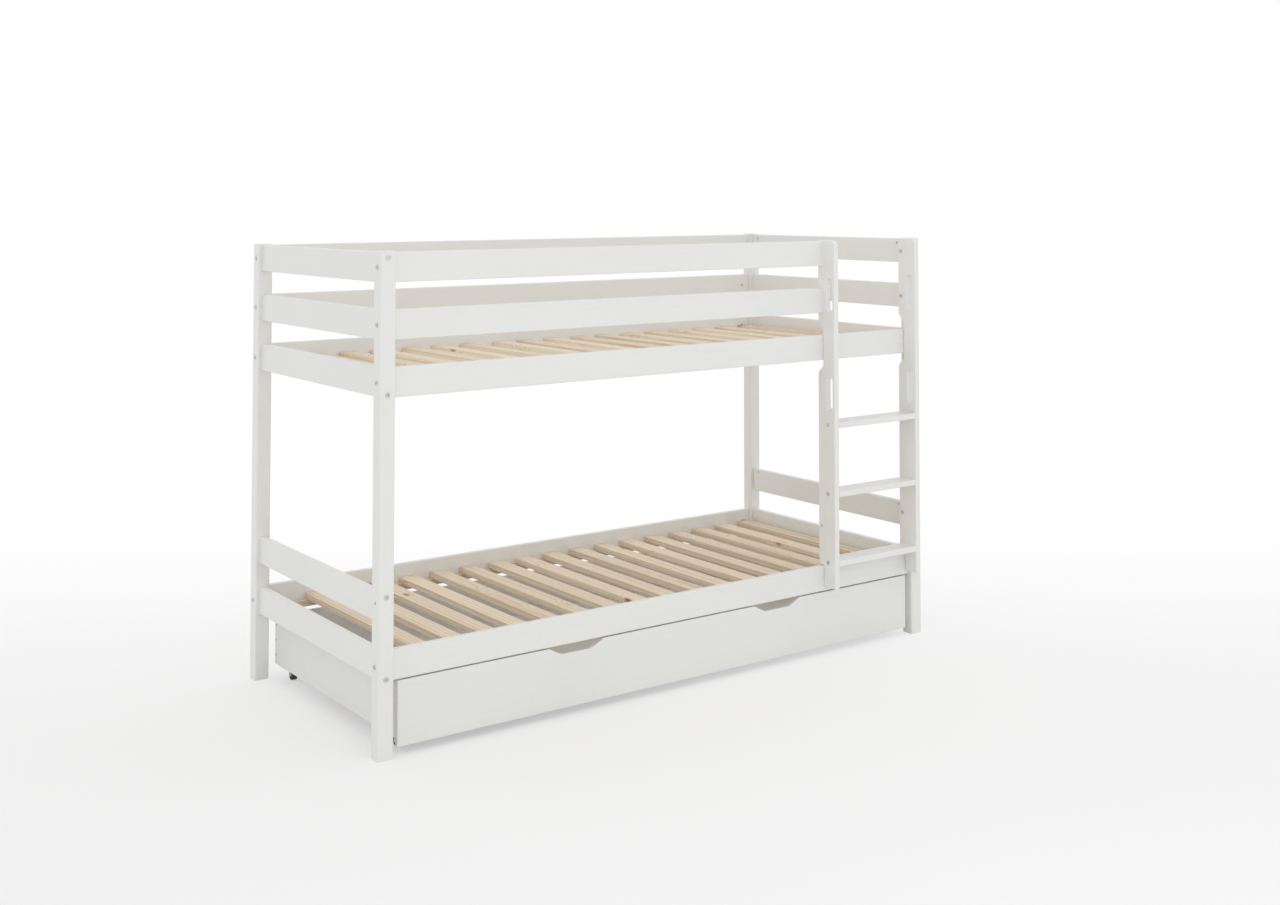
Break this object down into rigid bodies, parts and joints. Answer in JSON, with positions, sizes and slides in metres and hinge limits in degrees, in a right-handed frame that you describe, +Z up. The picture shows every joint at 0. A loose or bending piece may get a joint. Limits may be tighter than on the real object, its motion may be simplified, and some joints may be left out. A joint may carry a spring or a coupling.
{
  "type": "bunk bed",
  "caption": "Low bunk bed of painted boards with slatted upper and lower beds, guard rails, a front ladder and a wide roll-out drawer under the lower bed.",
  "frame": {"origin": "on the floor, in the middle of the whole object in X and Y", "axes": "+X along the bed towards the ladder, +Y from the front (ladder and drawer side) to the back, +Z up"},
  "size_m": [2.065, 1.0264, 1.4],
  "materials": {
    "white_lacquer": "white satin lacquer on solid wood boards",
    "white_panel": "thin white coated panel",
    "pine": "natural unfinished pine",
    "beech": "raw beech dowel",
    "zinc_steel": "bright zinc plated",
    "grey_bracket": "grey satin",
    "black_wheel": "black moulded"
  },
  "bodies": {
    "frame": {"back_lower_bed": "white_lacquer", "back_middle_guard": "white_lacquer", "back_top_guard": "white_lacquer", "back_upper_bed": "white_lacquer", "barrel_nuts": "zinc_steel", "end_left_lower_bed": "white_lacquer", "end_left_lower_guard": "white_lacquer", "end_left_middle_guard": "white_lacquer", "end_left_top_guard": "white_lacquer", "end_left_upper_bed": "white_lacquer", "end_right_lower_bed": "white_lacquer", "end_right_lower_guard": "white_lacquer", "end_right_middle_guard": "white_lacquer", "end_right_top_guard": "white_lacquer", "end_right_upper_bed": "white_lacquer", "frame_bolts": "zinc_steel", "frame_dowels": "beech", "front_lower_bed": "white_lacquer", "front_middle_guard": "white_lacquer", "front_top_guard": "white_lacquer", "front_upper_bed": "white_lacquer", "ladder_bolts": "zinc_steel", "ladder_left_stringer": "white_lacquer", "ladder_right_stringer": "white_lacquer", "ladder_rung_bottom": "white_lacquer", "ladder_rung_middle": "white_lacquer", "ladder_rung_top": "white_lacquer", "ledger_lower_back": "pine", "ledger_lower_front": "pine", "ledger_upper_back": "pine", "ledger_upper_front": "pine", "post_back_left": "white_lacquer", "post_back_right": "white_lacquer", "post_front_left": "white_lacquer", "post_front_right": "white_lacquer", "slats_lower": "pine", "slats_upper": "pine", "sleeve_nuts": "zinc_steel"},
    "drawer": {"castor_axles": "zinc_steel", "castor_back_left_bracket": "grey_bracket", "castor_back_right_bracket": "grey_bracket", "castor_front_left_bracket": "grey_bracket", "castor_front_right_bracket": "grey_bracket", "castor_screws": "zinc_steel", "drawer_back": "white_lacquer", "drawer_bottom_back": "white_panel", "drawer_bottom_front": "white_panel", "drawer_cross_rail": "pine", "drawer_dowels": "beech", "drawer_front": "white_lacquer", "drawer_left_side": "white_lacquer", "drawer_right_side": "white_lacquer", "drawer_screws": "zinc_steel"},
    "back_left_wheel": {"castor_back_left_wheel": "black_wheel"},
    "back_right_wheel": {"castor_back_right_wheel": "black_wheel"},
    "front_left_wheel": {"castor_front_left_wheel": "black_wheel"},
    "front_right_wheel": {"castor_front_right_wheel": "black_wheel"}
  },
  "joints": [
    {"name": "drawer_slide", "type": "slide", "parent": "frame", "child": "drawer", "axis": [0, -1, 0], "range_m": [0, 0.88]},
    {"name": "back_left_wheel_spin", "type": "hinge", "parent": "drawer", "child": "back_left_wheel", "pos_m": [-0.927, 0.40175, 0.0175], "axis": [1, 0, 0], "continuous": true},
    {"name": "back_right_wheel_spin", "type": "hinge", "parent": "drawer", "child": "back_right_wheel", "pos_m": [0.927, 0.40175, 0.0175], "axis": [1, 0, 0], "continuous": true},
    {"name": "front_left_wheel_spin", "type": "hinge", "parent": "drawer", "child": "front_left_wheel", "pos_m": [-0.927, -0.37525, 0.0175], "axis": [1, 0, 0], "continuous": true},
    {"name": "front_right_wheel_spin", "type": "hinge", "parent": "drawer", "child": "front_right_wheel", "pos_m": [0.927, -0.37525, 0.0175], "axis": [1, 0, 0], "continuous": true}
  ],
  "couplings": [
    {"joint": "back_left_wheel_spin", "follows": "drawer_slide", "rad_per_m": 57.143},
    {"joint": "back_right_wheel_spin", "follows": "drawer_slide", "rad_per_m": 57.143},
    {"joint": "front_left_wheel_spin", "follows": "drawer_slide", "rad_per_m": 57.143},
    {"joint": "front_right_wheel_spin", "follows": "drawer_slide", "rad_per_m": 57.143}
  ]
}
